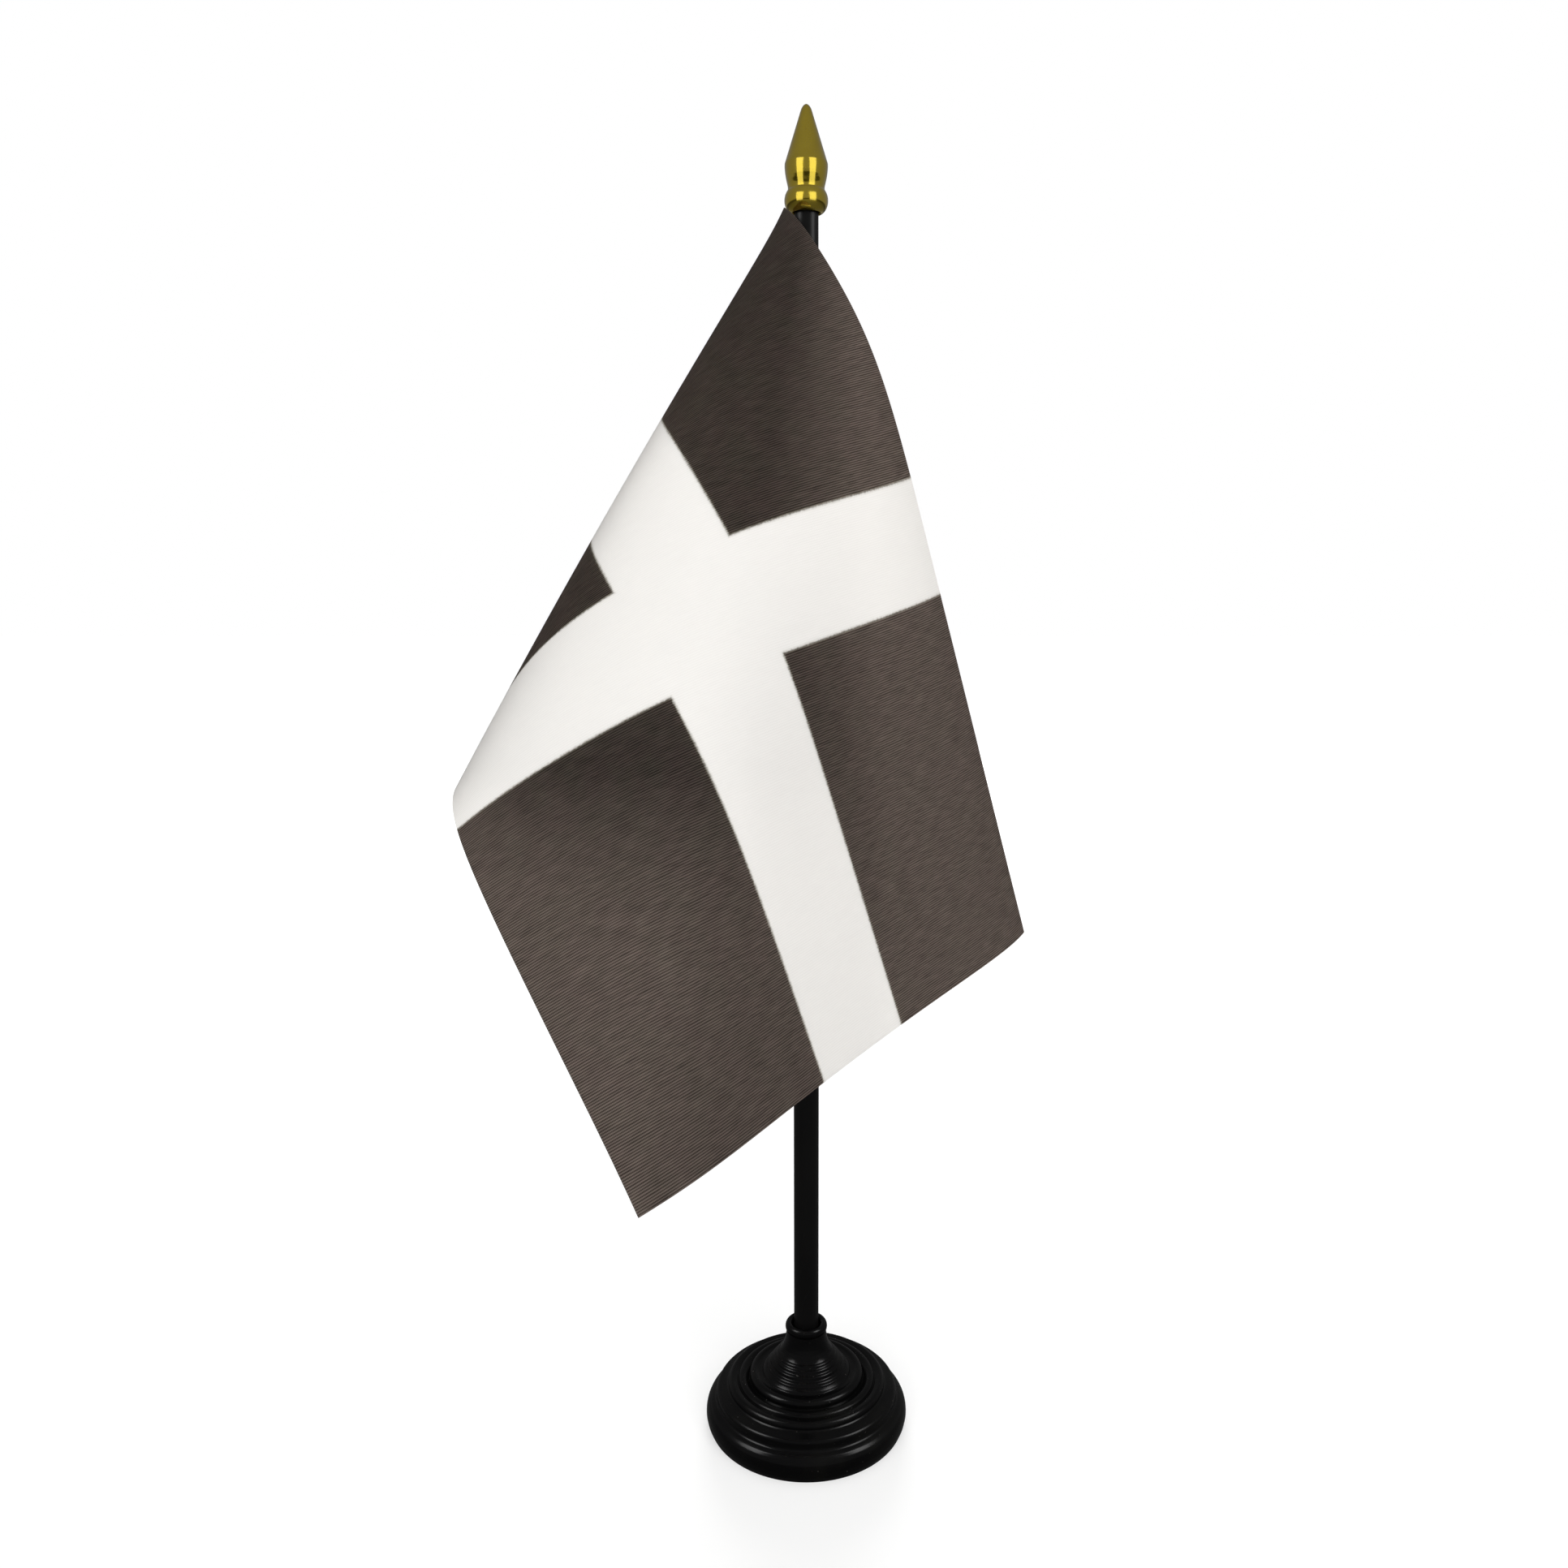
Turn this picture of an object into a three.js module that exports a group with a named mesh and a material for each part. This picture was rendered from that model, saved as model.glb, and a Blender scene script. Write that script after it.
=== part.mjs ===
// A small table flag on a stand: a hollow moulded foot with a socket, a tapered black pole, a gold spear
// finial pushed over the pole's top, and a printed cloth flag whose sleeve runs round the pole.
// Millimetres, +Z up. The origin is the centre of the foot on the table, and -Y is the front.

import * as THREE from "three";

// ---- driving dimensions -----------------------------------------------------------------------------

const FIT_GAP = 0.3; // between pieces that push or rest together

const BASE_RADIUS = 21.0; // where the rim meets the table
const SOCKET_FLOOR = 2.2; // height of the closed end of the pole socket
const SHELL = 1.6; // wall of the hollow foot
const BOSS_RADIUS = 4.7; // round the socket, under the shell

const POLE_FOOT_RADIUS = 2.63;
const POLE_TOP_RADIUS = 2.3;
const POLE_STRAIGHT_TO = 75; // the pole tapers above this height
const FINIAL_BOTTOM = 248.9;
const FINIAL_HEIGHT = 19.45;
const FINIAL_BORE_DEPTH = 7.2;
const POLE_TOP = FINIAL_BOTTOM + FINIAL_BORE_DEPTH - FIT_GAP;

const FLAG_TOP = 248.5; // height of the cloth's top edge where it leaves the pole
const FLAG_HEIGHT = 100; // along the pole
const FLAG_LENGTH = 154; // from the pole to the free end: a 4 mm seam allowance and a 150 mm field
const CLOTH = 0.4;
const CLOTH_START = new THREE.Vector3(-2.75, -0.4, FLAG_TOP); // the top corner, at the pole's left side
const CLOTH_FROM = 1.4; // the cloth's solid starts this far out from the pole, clear of the sleeve
const SLEEVE_NOTCH = 7; // the sleeve stops this far below the cloth's top corner

// Where a thread of the cloth points on each panel, in degrees: the heading seen from above, from +X
// towards +Y, and the drop below level.
const BACK_HEADING = 215.4;
const FRONT_HEADING = 316.4;
const LAST_TURN = 47.7; // from the lower left panel's heading to the right panel's
const CORNER_TURN = 27.5; // extra heading where the cloth leaves the pole, gone within a few millimetres
const CORNER_LENGTH = 5;
const BACK_DROP = -1.9;
const FRONT_DROP = 53; // more than the back panel's
const LAST_DROP = 23.8; // more than the lower left panel's

const SEAM_FROM_POLE = 4;
const THREAD_RADIUS = 0.2;

const FOOT_SIDES = 40;
const ROD_SIDES = 24;

// ---- helpers ----------------------------------------------------------------------------------------

const radians = THREE.MathUtils.degToRad;

function finish(color, roughness, metalness) {
  return new THREE.MeshStandardMaterial({ color, roughness, metalness });
}

function named(name, geometry, material) {
  const mesh = new THREE.Mesh(geometry, material);
  mesh.name = name;
  return mesh;
}

// A profile of [radius, height] points turned about the vertical axis.
function turned(profile, sides) {
  const points = profile.map(([radius, height]) => new THREE.Vector2(radius, height));
  const geometry = new THREE.LatheGeometry(points, sides);
  geometry.rotateX(Math.PI / 2);
  return geometry;
}

// Points on a round bead: centre, radii across and up, and the angles it runs between, in degrees.
function bead(radius, height, across, up, from, to, steps) {
  return Array.from({ length: steps + 1 }, (_, i) => {
    const angle = radians(from + ((to - from) * i) / steps);
    return [radius + across * Math.cos(angle), height + up * Math.sin(angle)];
  });
}

// A smooth step from 0 to 1 centred on 0.
function fold(x) {
  return 0.5 * (1 + Math.tanh(x));
}

// ---- the foot ---------------------------------------------------------------------------------------

// Outer profile from the table up to the lip of the collar: a rounded rim, a steep drum, three beads
// that shrink towards the middle, small steps, a waisted neck and a rolled lip.
function footOutside() {
  return [
    [BASE_RADIUS, 0],
    [21.55, 1.3],
    [21.7, 2.4],
    [21.65, 3.4],
    [21.3, 4.5],
    [20.65, 5.4],
    [19.85, 5.8],
    [19.45, 6.4],
    ...bead(18.55, 7.15, 0.9, 0.95, -10, 90, 3),
    [17.3, 8.4],
    ...bead(15.95, 8.85, 1.0, 1.2, -15, 90, 3),
    [14.85, 9.65],
    ...bead(13.7, 9.65, 1.0, 0.85, 0, 130, 3),
    [12.35, 9.85],
    ...bead(11.15, 10.65, 1.1, 1.15, -20, 120, 4),
    [9.5, 11.65],
    [8.9, 12.6],
    [7.85, 13.3],
    [7.55, 14.2],
    [6.95, 14.5],
    [6.45, 15.45],
    [5.6, 16.35],
    [4.85, 17.8],
    [4.4, 19.4],
    [4.25, 20.45],
  ];
}

function foot() {
  const socket = POLE_FOOT_RADIUS + FIT_GAP;
  const profile = [
    [0, 0],
    [BOSS_RADIUS, 0],
    [BOSS_RADIUS, 11.7],
    [8.4, 10.2],
    [13.3, 7.8],
    [16.9, 6.2],
    [18.9, 4.4],
    [BASE_RADIUS - SHELL, 2.7],
    [BASE_RADIUS - SHELL, 0],
    ...footOutside(),
    ...bead(3.73, 21.65, 0.77, 1.05, -40, 180, 7),
    [socket, 20.65],
    [socket, SOCKET_FLOOR],
    [0, SOCKET_FLOOR],
  ];
  return turned(profile, FOOT_SIDES);
}

// ---- the pole and its finial ------------------------------------------------------------------------

function pole() {
  const bottom = SOCKET_FLOOR + FIT_GAP;
  const chamfer = 0.4;
  const profile = [
    [0, bottom],
    [POLE_FOOT_RADIUS - chamfer, bottom],
    [POLE_FOOT_RADIUS, bottom + chamfer],
    [POLE_FOOT_RADIUS, POLE_STRAIGHT_TO],
    [POLE_TOP_RADIUS, POLE_TOP - chamfer],
    [POLE_TOP_RADIUS - chamfer, POLE_TOP],
    [0, POLE_TOP],
  ];
  return turned(profile, ROD_SIDES);
}

// A ball, a neck, a barrel that widens to a crease, and a plain cone with a rounded tip. Heights are from
// the finial's own bottom.
function finial() {
  const bore = POLE_TOP_RADIUS + FIT_GAP;
  const profile = [
    [0, FINIAL_BORE_DEPTH],
    [bore, FINIAL_BORE_DEPTH],
    [bore, 0],
    ...bead(2.57, 2.4, 1.5, 2.3, -80, 60, 9),
    [3.42, 4.6],
    [3.51, 5.2],
    [3.77, 6.4],
    [3.95, 7.6],
    [4.02, 8.4],
    [3.98, 9.0],
    [1.0, 18.3],
    [0.75, 18.85],
    [0.38, 19.28],
    [0, FINIAL_HEIGHT],
  ];
  return turned(profile, ROD_SIDES).translate(0, 0, FINIAL_BOTTOM);
}

// ---- the cloth --------------------------------------------------------------------------------------

// The flag is woven of level threads. Each one leaves the pole at its own depth below the top edge and
// runs to the free end. s is that depth as a share of the flag's height, u the distance along the thread.
// A thread first runs level to the front left, as the back panel. It then turns in a fold that slants
// away from the pole's top, and hangs as the lower left panel, and turns again as the right panel.
function clothPanels(u, s) {
  const firstFold = 7.6 + 73.8 * s - 6 * s * s;
  const firstWidth = 10.2 + 9 * s;
  const secondFold = 42.7 + 88 * s + 36 * s * s;
  const secondWidth = 18.2 + 3.9 * s;
  return {
    headingOne: fold((u - firstFold) / firstWidth),
    headingTwo: fold((u - secondFold) / secondWidth),
    dropOne: fold((u - firstFold - 4.5 - 1.4 * s) / (0.77 * firstWidth)),
    dropTwo: fold((u - secondFold + 2.4 + 10.8 * s) / (0.85 * secondWidth)),
  };
}

// Unit direction of a thread: its heading turns about the vertical, and its drop tilts it down.
function threadDirection(u, s) {
  const panels = clothPanels(u, s);
  const back = BACK_HEADING - 2.3 * s + CORNER_TURN * Math.exp(-((u / CORNER_LENGTH) ** 2));
  const front = (FRONT_HEADING - back) * panels.headingOne;
  const heading = radians(back + front + LAST_TURN * panels.headingTwo);
  const frontDrop = (FRONT_DROP - 4.9 * s) * panels.dropOne;
  const drop = radians(BACK_DROP + frontDrop + LAST_DROP * panels.dropTwo);
  return new THREE.Vector3(
    Math.cos(drop) * Math.cos(heading),
    Math.cos(drop) * Math.sin(heading),
    -Math.sin(drop),
  );
}

// The thread s laid out from the pole in short straight steps: its points at the given lengths.
function threadPoints(s, lengths) {
  const step = 0.5;
  const point = CLOTH_START.clone();
  point.z -= FLAG_HEIGHT * s;
  const points = [];
  let travelled = 0;
  for (const length of lengths) {
    while (travelled < length - 1e-9) {
      const next = Math.min(step, length - travelled);
      point.addScaledVector(threadDirection(travelled + next / 2, s), next);
      travelled += next;
    }
    points.push(point.clone());
  }
  return points;
}

function clothGrid(lengths, rows) {
  return Array.from({ length: rows + 1 }, (_, row) => threadPoints(row / rows, lengths));
}

// Normals of the grid, from differences along and across the threads.
function gridNormals(grid) {
  return grid.map((thread, row) => thread.map((_, i) => {
    const above = grid[Math.max(row - 1, 0)][i];
    const below = grid[Math.min(row + 1, grid.length - 1)][i];
    const before = thread[Math.max(i - 1, 0)];
    const after = thread[Math.min(i + 1, thread.length - 1)];
    const along = after.clone().sub(before);
    const down = below.clone().sub(above);
    return along.cross(down).normalize();
  }));
}

// A closed skin of the given thickness round a grid of points: two faces joined by a border.
function thickenedGrid(grid, thickness) {
  const normals = gridNormals(grid);
  const rows = grid.length;
  const columns = grid[0].length;
  const end = columns - 1;
  const positions = [];
  for (const side of [0.5, -0.5]) {
    grid.forEach((thread, row) => thread.forEach((point, i) => {
      const moved = point.clone().addScaledVector(normals[row][i], side * thickness);
      positions.push(moved.x, moved.y, moved.z);
    }));
  }
  const index = [];
  const front = (row, i) => row * columns + i;
  const back = (row, i) => rows * columns + row * columns + i;
  const quad = (a, b, c, d) => index.push(a, b, c, a, c, d);
  for (let row = 0; row < rows - 1; row += 1) {
    for (let i = 0; i < end; i += 1) {
      quad(front(row, i), front(row, i + 1), front(row + 1, i + 1), front(row + 1, i));
      quad(back(row, i), back(row + 1, i), back(row + 1, i + 1), back(row, i + 1));
    }
    quad(front(row, 0), front(row + 1, 0), back(row + 1, 0), back(row, 0));
    quad(front(row, end), back(row, end), back(row + 1, end), front(row + 1, end));
  }
  for (let i = 0; i < end; i += 1) {
    quad(front(0, i), back(0, i), back(0, i + 1), front(0, i + 1));
    quad(front(rows - 1, i), front(rows - 1, i + 1), back(rows - 1, i + 1), back(rows - 1, i));
  }
  const geometry = new THREE.BufferGeometry();
  geometry.setAttribute("position", new THREE.Float32BufferAttribute(positions, 3));
  geometry.setIndex(index);
  return geometry;
}

function flagCloth() {
  const columns = 36;
  const rows = 16;
  const spacing = (FLAG_LENGTH - CLOTH_FROM) / columns;
  const lengths = Array.from({ length: columns + 1 }, (_, i) => CLOTH_FROM + spacing * i);
  return thickenedGrid(clothGrid(lengths, rows), CLOTH);
}

// The sleeve is the turned-back hoist of the cloth, a loop round the pole that stops short of the top.
function flagSleeve() {
  const inner = POLE_FOOT_RADIUS + FIT_GAP;
  const outer = inner + FIT_GAP;
  const bottom = FLAG_TOP - FLAG_HEIGHT;
  const top = FLAG_TOP - SLEEVE_NOTCH;
  const profile = [
    [inner, top],
    [inner, bottom],
    [outer, bottom],
    [outer, top],
    [inner, top],
  ];
  return turned(profile, ROD_SIDES);
}

// The seam's thread runs down the back of the cloth, beside the sleeve.
function sleeveThread() {
  const rows = 16;
  const notch = SLEEVE_NOTCH / FLAG_HEIGHT;
  const lengths = [SEAM_FROM_POLE - 1, SEAM_FROM_POLE, SEAM_FROM_POLE + 1];
  const threads = Array.from({ length: rows + 1 }, (_, row) => {
    return threadPoints(notch + ((1 - notch) * row) / rows, lengths);
  });
  const normals = gridNormals(threads);
  const offset = -(CLOTH / 2 + FIT_GAP + THREAD_RADIUS);
  const path = threads.map((thread, row) => thread[1].clone().addScaledVector(normals[row][1], offset));
  const section = new THREE.Shape().absarc(0, 0, THREAD_RADIUS, 0, 2 * Math.PI);
  return new THREE.ExtrudeGeometry(section, {
    curveSegments: 4,
    steps: rows,
    extrudePath: new THREE.CatmullRomCurve3(path),
  });
}

// ---- assembly ---------------------------------------------------------------------------------------

const blackMoulding = finish(0x151515, 0.42, 0);
const blackRod = finish(0x121212, 0.38, 0);
const goldPlating = finish(0xb79a35, 0.22, 1);
const printedCloth = finish(0x544a46, 0.85, 0);
const sewingThread = finish(0x3c3633, 0.8, 0);

const table_flag = new THREE.Group();
table_flag.add(named("base", foot(), blackMoulding));
table_flag.add(named("pole", pole(), blackRod));
table_flag.add(named("finial", finial(), goldPlating));
table_flag.add(named("flag_cloth", flagCloth(), printedCloth));
table_flag.add(named("flag_sleeve", flagSleeve(), printedCloth));
table_flag.add(named("sleeve_thread", sleeveThread(), sewingThread));

export default table_flag;
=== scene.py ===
# %% [markdown]
# # A table flag on its stand
#
# A small flag for a desk has four pieces that come apart: a moulded foot, a tapered pole, a gold spear
# finial and a printed cloth. The cloth is what makes it look real, so it gets the most care: it is laid
# out thread by thread, at its true length, from the pole to its free end.
#
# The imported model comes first. It fixes every size and every joint. Each piece made here stands for one
# or two of its plain solids, and rides on the same body, so it moves as they do.

# %% Load the frame
import math

import bpy
import numpy as np
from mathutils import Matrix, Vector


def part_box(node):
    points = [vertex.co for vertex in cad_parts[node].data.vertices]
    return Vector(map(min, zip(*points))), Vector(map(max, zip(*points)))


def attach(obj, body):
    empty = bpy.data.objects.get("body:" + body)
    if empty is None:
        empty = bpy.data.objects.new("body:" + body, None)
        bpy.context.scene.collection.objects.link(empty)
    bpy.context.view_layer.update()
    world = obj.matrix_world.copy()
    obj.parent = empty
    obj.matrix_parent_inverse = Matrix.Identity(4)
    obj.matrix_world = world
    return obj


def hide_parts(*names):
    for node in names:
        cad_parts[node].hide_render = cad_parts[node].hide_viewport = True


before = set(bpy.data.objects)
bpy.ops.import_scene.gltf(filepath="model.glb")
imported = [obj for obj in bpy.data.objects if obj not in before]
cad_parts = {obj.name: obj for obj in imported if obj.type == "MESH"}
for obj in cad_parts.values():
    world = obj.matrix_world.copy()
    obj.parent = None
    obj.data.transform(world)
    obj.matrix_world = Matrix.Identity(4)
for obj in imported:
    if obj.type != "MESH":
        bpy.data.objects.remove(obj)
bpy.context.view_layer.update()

# %% [markdown]
# ## Measures
#
# Everything that has a place takes it from the frame's boxes, in metres. What is left is given in
# millimetres, because a maker's drawing is, and one factor turns it into metres.

# %% Measures
MM = 0.001

pole_low, pole_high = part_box("pole")
finial_low, finial_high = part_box("finial")
sleeve_low, sleeve_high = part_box("flag_sleeve")

POLE_FOOT_RADIUS = pole_high.x / MM
POLE_TOP_RADIUS = 2.3
POLE_TAPERS_FROM = 75.0
FINIAL_BOTTOM = finial_low.z / MM
FLAG_HEIGHT = 100.0
FLAG_LENGTH = 154.0
FLAG_TOP = sleeve_low.z / MM + FLAG_HEIGHT
SLEEVE_NOTCH = FLAG_TOP - sleeve_high.z / MM
SEAM = 4.0
print("flag's top edge at", round(FLAG_TOP, 2), "mm, sleeve starts", round(SLEEVE_NOTCH, 2), "mm lower")

# %% [markdown]
# ## The camera
#
# The stand is seen from the front, close by, from a little above the middle of the flag, looking 9
# degrees down. So close a view makes the foot look seen from well above and the finial from below.

# %% The camera
EYE_DISTANCE = 0.2547
EYE_HEIGHT = 0.1805
LOOKS_DOWN = 9.0
FIELD_LENGTHS = 1574.0 / 1932.0  # focal length as a share of the picture's width

camera_data = bpy.data.cameras.new("camera")
camera_data.sensor_width = 36.0
camera_data.lens = camera_data.sensor_width * FIELD_LENGTHS
camera_data.shift_x = -0.0142
camera_data.clip_start = 0.01
camera = bpy.data.objects.new("camera", camera_data)
camera.location = (0, -EYE_DISTANCE, EYE_HEIGHT)
camera.rotation_euler = (math.radians(90 - LOOKS_DOWN), 0, 0)
bpy.context.scene.collection.objects.link(camera)
bpy.context.scene.camera = camera
print("lens", round(camera_data.lens, 2), "mm")

# %% [markdown]
# ## Meshes from grids
#
# Every piece here is a surface of two parameters, worked out as a whole array: how far round and how
# far along. One helper puts points and faces into a mesh. Another joins neighbouring rows of a grid
# with four-sided faces, and can wrap round, so that a turned piece closes on itself.

# %% Helpers for meshes
def make_piece(name, points, faces, material, sharp=40.0, uv=None):
    """One mesh object at the origin, from points in millimetres.

    Edges that turn more than sharp degrees stay crisp.
    """
    mesh = bpy.data.meshes.new(name)
    mesh.from_pydata((np.asarray(points) * MM).tolist(), [], faces)
    mesh.shade_smooth()
    mesh.set_sharp_from_angle(angle=math.radians(sharp))
    if uv is not None:
        corners = np.empty(len(mesh.loops), np.int32)
        mesh.loops.foreach_get("vertex_index", corners)
        layer = mesh.uv_layers.new(name="cloth")
        layer.uv.foreach_set("vector", np.asarray(uv, np.float32)[corners].ravel())
    mesh.materials.append(material)
    piece = bpy.data.objects.new(name, mesh)
    bpy.context.scene.collection.objects.link(piece)
    print(name, len(mesh.vertices), "vertices", len(mesh.polygons), "faces")
    return piece


def grid_faces(index):
    """Four-sided faces between neighbours of a grid of vertex numbers."""
    corners = (index[:-1, :-1], index[:-1, 1:], index[1:, 1:], index[1:, :-1])
    return np.stack(corners, -1).reshape(-1, 4).tolist()


# %% [markdown]
# ## Turned pieces
#
# The foot, the pole and the finial are all round. Each is a profile of radius and height, from the axis
# out and back to the axis, carried round a circle. Moulded plastic has no knife edges, so every corner
# of a profile is eased first: the last bit of each side is swapped for a small curve.

# %% Helpers for turned pieces
def arc(radius, height, across, up, start, stop, steps):
    """Points on a round bead.

    Each is the centre, plus across times the cosine and up times the sine of the angle.
    """
    angle = np.radians(np.linspace(start, stop, steps + 1))
    return np.stack([radius + across * np.cos(angle), height + up * np.sin(angle)], -1)


def eased(profile, ease=0.25, steps=3):
    """Each inner corner becomes a quadratic curve from a point just before it to a point just after it.

    The two points lie at ease millimetres, or at a third of the side where that is shorter. At share t
    the curve is (1 - t) squared of the first, 2 t (1 - t) of the corner and t squared of the last.
    """
    profile = np.asarray(profile, float)
    corner = profile[1:-1]
    before = profile[:-2] - corner
    after = profile[2:] - corner
    before_length = np.linalg.norm(before, axis=1, keepdims=True)
    after_length = np.linalg.norm(after, axis=1, keepdims=True)
    first = corner + before * np.minimum(ease / before_length, 1 / 3)
    last = corner + after * np.minimum(ease / after_length, 1 / 3)
    t = np.linspace(0, 1, steps + 1).reshape(1, -1, 1)
    curve = (1 - t) ** 2 * first[:, None] + 2 * t * (1 - t) * corner[:, None] + t**2 * last[:, None]
    return np.concatenate([profile[:1], curve.reshape(-1, 2), profile[-1:]])


def turned_points(profile, sides, ridge=0.0):
    """Radius times cosine and sine of the angle round, and height.

    With a ridge, the radius grows by that much in a narrow line on the left and on the right, where
    the two halves of a mould met.
    """
    radius, height = profile[1:-1].T
    angle = 2 * np.pi * np.arange(sides) / sides
    line = np.exp(-((radius[:, None] * np.sin(angle) / 0.13) ** 2))
    wide = radius[:, None] + ridge * line
    tall = np.broadcast_to(height[:, None], wide.shape)
    ring = np.stack([wide * np.cos(angle), wide * np.sin(angle), tall], -1)
    ends = np.array([[0, 0, profile[0, 1]], [0, 0, profile[-1, 1]]])
    return np.concatenate([ring.reshape(-1, 3), ends])


def turned_faces(rows, sides):
    """Faces between the rings, wrapped round, and a fan of triangles at each end of the profile."""
    index = np.arange(rows * sides).reshape(rows, sides)
    wrapped = np.concatenate([index, index[:, :1]], 1)
    first = np.full(sides, rows * sides)
    last = first + 1
    start_fan = np.stack([first, wrapped[0, 1:], wrapped[0, :-1]], -1)
    end_fan = np.stack([last, wrapped[-1, :-1], wrapped[-1, 1:]], -1)
    return grid_faces(wrapped) + start_fan.tolist() + end_fan.tolist()


def turned_piece(name, profile, sides, material, ridge=0.0):
    """A round piece from a profile that runs from the axis, out and up the outside, back to the axis."""
    points = turned_points(profile, sides, ridge)
    return make_piece(name, points, turned_faces(len(profile) - 2, sides), material)


# %% [markdown]
# ## Building a finish
#
# A finish is a small network of nodes. The helper adds one node, sets its options, and fills its
# sockets, either with a value or with the output of a node made before.

# %% Helpers for finishes
def add_node(tree, kind, sockets=None, **options):
    """A new node. sockets maps a socket's name or number to a value or to another node's output."""
    node = tree.nodes.new(kind)
    for option, value in options.items():
        setattr(node, option, value)
    for key, value in (sockets or {}).items():
        if isinstance(value, bpy.types.NodeSocket):
            tree.links.new(value, node.inputs[key])
        else:
            node.inputs[key].default_value = value
    return node


def maths(tree, operation, first, second=0.0, third=0.0):
    """The output of one Math node."""
    node = add_node(tree, "ShaderNodeMath", {0: first, 1: second, 2: third}, operation=operation)
    return node.outputs[0]


def noise(tree, vector, scale, detail=2.0, roughness=0.5):
    """The grey value of a Noise texture, around one half."""
    sockets = {"Vector": vector, "Scale": scale, "Detail": detail, "Roughness": roughness}
    return add_node(tree, "ShaderNodeTexNoise", sockets).outputs["Fac"]


def between(tree, value, low, high, to_low, to_high, smooth=False):
    """value carried from the range low to high onto the range to_low to to_high."""
    sockets = {"Value": value, "From Min": low, "From Max": high, "To Min": to_low, "To Max": to_high}
    kind = "SMOOTHSTEP" if smooth else "LINEAR"
    return add_node(tree, "ShaderNodeMapRange", sockets, interpolation_type=kind).outputs["Result"]


def mixed_colour(tree, share, first, second, blend="MIX"):
    """Two colours mixed by a share."""
    sockets = {0: share, 6: first, 7: second}
    node = add_node(tree, "ShaderNodeMix", sockets, data_type="RGBA", blend_type=blend)
    return node.outputs[2]


def stretched(tree, vector, scale):
    """Coordinates scaled along each axis, so that a texture runs long one way."""
    sockets = {"Vector": vector, "Scale": scale}
    return add_node(tree, "ShaderNodeMapping", sockets).outputs["Vector"]


def grey(tree, value):
    """One value as a colour."""
    return add_node(tree, "ShaderNodeCombineXYZ", {0: value, 1: value, 2: value}).outputs[0]


def shaded(tree, colour, value):
    """A colour times a value."""
    return mixed_colour(tree, 1.0, colour, grey(tree, value), "MULTIPLY")


def new_finish(name):
    """A material with its Principled shader, and its object coordinates in metres."""
    material = bpy.data.materials.new(name)
    material.use_nodes = True
    tree = material.node_tree
    place = add_node(tree, "ShaderNodeTexCoord").outputs["Object"]
    return material, tree, tree.nodes["Principled BSDF"], place


def finished(material):
    """Says what a finish is made of, and hands it on."""
    print(material.name, "is a finish of", len(material.node_tree.nodes), "nodes")
    return material


# %% [markdown]
# ## Black moulded plastic
#
# The foot is cheap, tough plastic from a polished mould with soft edges. It is nearly black, and what
# shows its shape is a satin gleam. The mould was turned on a lathe, so faint rings run round it, and
# the surface has the slight ripple that plastic gets as it shrinks. Handling leaves paler, rougher
# patches and a few specks of dust.

# %% Black moulded plastic
RING_PITCH = 0.42 * MM


def foot_plastic():
    """Rings are a sine of the distance from the axis, and the ripple, grain and patches are noises."""
    material, tree, shader, place = new_finish("black moulded plastic")
    xyz = add_node(tree, "ShaderNodeSeparateXYZ", {0: place}).outputs
    squares = maths(tree, "ADD", maths(tree, "POWER", xyz[0], 2.0), maths(tree, "POWER", xyz[1], 2.0))
    across = maths(tree, "SQRT", squares)
    rings = maths(tree, "SINE", maths(tree, "MULTIPLY", across, 2 * math.pi / RING_PITCH))
    ripple = noise(tree, place, 420.0, 3.0)
    grain = noise(tree, place, 2600.0, 2.0)
    patches = noise(tree, place, 90.0, 4.0, 0.6)
    specks = between(tree, noise(tree, place, 1500.0, 1.0), 0.76, 0.79, 0.0, 1.0, True)
    worn = between(tree, patches, 0.45, 0.7, 0.0, 1.0, True)
    plain = mixed_colour(tree, worn, (0.0011, 0.0011, 0.0012, 1), (0.002, 0.002, 0.0018, 1))
    shader.inputs["Specular IOR Level"].default_value = 0.13
    shader.inputs["IOR"].default_value = 1.5
    colour = mixed_colour(tree, specks, plain, (0.02, 0.019, 0.017, 1))
    tree.links.new(colour, shader.inputs["Base Color"])
    handled = between(tree, patches, 0.3, 0.7, 0.18, 0.28)
    rough = maths(tree, "ADD", handled, maths(tree, "MULTIPLY", specks, 0.3))
    tree.links.new(rough, shader.inputs["Roughness"])
    height = maths(tree, "ADD", maths(tree, "MULTIPLY", rings, 0.16), maths(tree, "MULTIPLY", ripple, 1.3))
    height = maths(tree, "ADD", height, maths(tree, "MULTIPLY", grain, 0.35))
    bump = add_node(tree, "ShaderNodeBump", {"Strength": 0.35, "Distance": 0.02 * MM, "Height": height})
    tree.links.new(bump.outputs[0], shader.inputs["Normal"])
    return finished(material)


# %% [markdown]
# ## Black drawn rod
#
# The pole is drawn, not moulded in a cavity, so its marks run along it: long faint lines where the
# plastic slid, and a little variation in gloss.

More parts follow.
